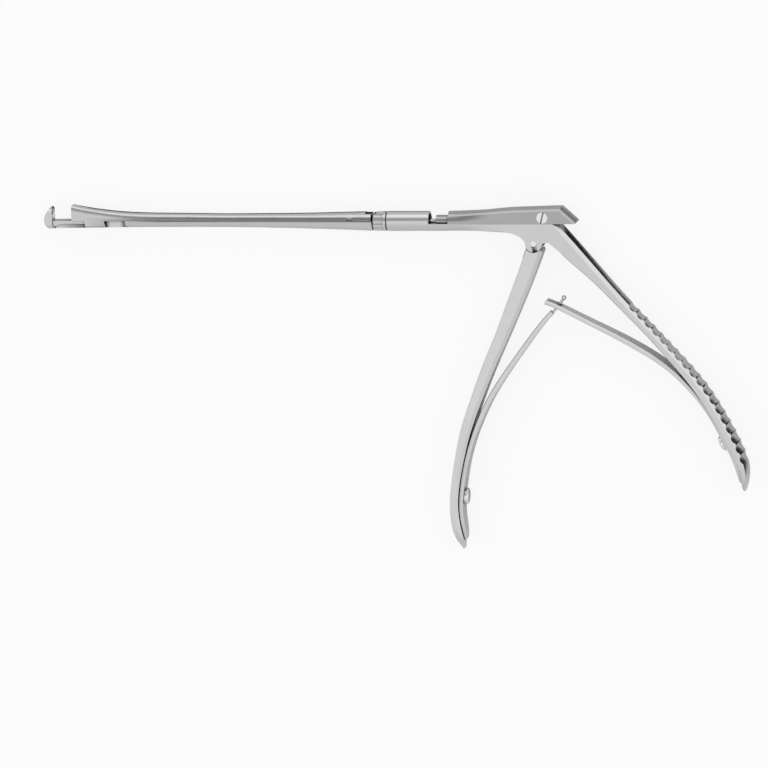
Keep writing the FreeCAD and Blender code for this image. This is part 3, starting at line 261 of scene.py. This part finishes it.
# The leaf springs bend as the lever closes; here each gets a mesh of its own, a copy of its part, and the
# part is hidden.
def bending_spring(name):
    """Copies the leaf's mesh into an object of its own, hides the part, and bakes the copy's placement into
    its mesh.
    """
    leaf = bpy.data.objects.new(name + "_bending", nodes[name].data.copy())
    leaf.matrix_world = nodes[name].matrix_world
    bpy.context.scene.collection.objects.link(leaf)
    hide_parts(name)
    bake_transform(leaf)


bending_spring("rear_leaf_spring")
bending_spring("front_leaf_spring")


# Camera: a very long lens that looks down on the instrument's side, from a little above and to the rear.
RIGHT = Vector((0.9755, -0.0469, -0.2149))
UP = Vector((0.0, 0.977, -0.2132))
TOWARDS = RIGHT.cross(UP).normalized()
LOOKS_AT = place(105.65, -51.9)
LENS = 1200
DISTANCE = 7.974
camera_data = bpy.data.cameras.new("camera")
camera_data.lens = LENS
camera_data.sensor_width = 36
camera_data.clip_start = 0.5
camera_data.clip_end = 40
camera = bpy.data.objects.new("camera", camera_data)
bpy.context.scene.collection.objects.link(camera)
turned = Matrix((RIGHT.normalized(), UP.normalized(), TOWARDS)).transposed().to_4x4()
camera.matrix_world = Matrix.Translation(LOOKS_AT + TOWARDS * DISTANCE) @ turned
bpy.context.scene.camera = camera


# Floor: white paper to look at. What the steel reflects of it is a separate colour, paler or darker by
# place: black cards, painted into the floor only for reflected rays, lie beside the rear handle's straight
# part, along its curved part, below the driving slide's slope, and behind the shaft, and paint dark
# reflections on the steel.
FLOOR_HALF = 3.0
FLOOR_DROP = 0.0002
PAPER_GLOW = 0.85
PAPER_REFLECTED = 0.8
CARD_REFLECTED = 0.02
CARD_WIDTH = 0.03
HANDLE_SIDE = Vector((0.75, 0.66, 0.0))
HANDLE_CARD = HANDLE_SIDE.dot(place(184.3, -24.4)) + 0.0008
ARC_CENTRE = place(121.8, -108.1, -MID_PLANE)
ARC_RADIUS = 0.1023
ARC_CARD = ARC_RADIUS + 0.0013
SLOPE_SIDE = Vector((0.677, 0.735, 0.0))
SLOPE_CARD = SLOPE_SIDE.dot(place(169.6, 0.4)) + 0.0009
CARDS = [
    [band(HANDLE_SIDE, HANDLE_CARD, HANDLE_CARD + CARD_WIDTH, 0.0005), across(-31, -1, 1)],
    [band(None, ARC_CARD, ARC_CARD + CARD_WIDTH, 0.0005, around=ARC_CENTRE), across(-90, -30, 1)],
    [band(SLOPE_SIDE, SLOPE_CARD, SLOPE_CARD + 0.0008, 0.0003), across(-1, 7, 1)],
    [across(2.4, 6.0, 0.4), along(-5, 128, 6)],
]


def floor_material():
    mat = bpy.data.materials.new("white_paper")
    mat.use_nodes = True
    tree = mat.node_tree
    tree.nodes.clear()
    link = tree.links.new
    paper = node_of(tree, "ShaderNodeBsdfDiffuse", -400, 100)
    set_inputs(paper, Color=(0.9, 0.9, 0.9, 1))
    glow = node_of(tree, "ShaderNodeEmission", -400, -40)
    set_inputs(glow, Strength=1.0)
    pale = node_of(tree, "ShaderNodeMixShader", -180, 80)
    set_inputs(pale, Fac=PAPER_GLOW)
    link(paper.outputs["BSDF"], pale.inputs[1])
    link(glow.outputs["Emission"], pale.inputs[2])
    shade = node_of(tree, "ShaderNodeMapRange", -600, -200)
    set_inputs(shade, To_Min=PAPER_REFLECTED, To_Max=CARD_REFLECTED)
    link(inside_areas(tree, CARDS, -800, -200), shade.inputs["Value"])
    reflected = node_of(tree, "ShaderNodeBsdfDiffuse", -400, -200)
    link(shade.outputs["Result"], reflected.inputs["Color"])
    # Camera rays see the pale paper; every other ray sees the painted cards, as painted reflections.
    rays = node_of(tree, "ShaderNodeLightPath", -180, 320)
    chosen = node_of(tree, "ShaderNodeMixShader", 40, 0)
    link(rays.outputs["Is Camera Ray"], chosen.inputs["Fac"])
    link(reflected.outputs["BSDF"], chosen.inputs[1])
    link(pale.outputs["Shader"], chosen.inputs[2])
    out = node_of(tree, "ShaderNodeOutputMaterial", 240, 0)
    link(chosen.outputs["Shader"], out.inputs["Surface"])
    return mat


floor_mesh = bpy.data.meshes.new("floor")
floor_corners = [(x * FLOOR_HALF, y * FLOOR_HALF, 0) for x, y in ((-1, -1), (1, -1), (1, 1), (-1, 1))]
floor_mesh.from_pydata(floor_corners, [], [(0, 1, 2, 3)])
floor = bpy.data.objects.new("floor", floor_mesh)
floor.location.z = -FLOOR_DROP
bpy.context.scene.collection.objects.link(floor)
floor_mesh.materials.append(floor_material())


# Studio: a white tent is the light. It is brighter behind the instrument, and a darker opening in its roof
# draws the soft line along the round flanks.
TENT_FRONT = 0.7
TENT_BACK = 1.2
OPENING = Vector((-0.21, 0.5, 0.84)).normalized()
OPENING_SHADE = 0.4
OPENING_INNER = math.radians(8)
OPENING_OUTER = math.radians(31)


def studio():
    world = bpy.data.worlds.new("studio")
    world.use_nodes = True
    tree = world.node_tree
    link = tree.links.new
    sky = tree.nodes["Background"]
    set_inputs(sky, Color=(1, 1, 1, 1))
    coords = node_of(tree, "ShaderNodeTexCoord", -1300, 0)
    split = node_of(tree, "ShaderNodeSeparateXYZ", -1100, 200)
    link(coords.outputs["Generated"], split.inputs["Vector"])
    wall = node_of(tree, "ShaderNodeMapRange", -900, 200)
    set_inputs(wall, From_Min=-1.0, From_Max=1.0, To_Min=TENT_FRONT, To_Max=TENT_BACK)
    link(split.outputs["Y"], wall.inputs["Value"])

    facing = node_of(tree, "ShaderNodeVectorMath", -1100, -100, operation="DOT_PRODUCT")
    facing.inputs[1].default_value = OPENING
    link(coords.outputs["Generated"], facing.inputs[0])
    angle = node_of(tree, "ShaderNodeMath", -900, -100, operation="ARCCOSINE")
    link(facing.outputs["Value"], angle.inputs[0])
    opening = node_of(tree, "ShaderNodeMapRange", -700, -100, interpolation_type="SMOOTHSTEP")
    set_inputs(opening, From_Min=OPENING_INNER, From_Max=OPENING_OUTER, To_Min=OPENING_SHADE, To_Max=1.0)
    link(angle.outputs["Value"], opening.inputs["Value"])
    link(join(tree, "MULTIPLY", wall.outputs["Result"], opening.outputs["Result"], -480, 0),
         sky.inputs["Strength"])
    return world


bpy.context.scene.world = studio()
bpy.context.scene.view_settings.view_transform = "Standard"
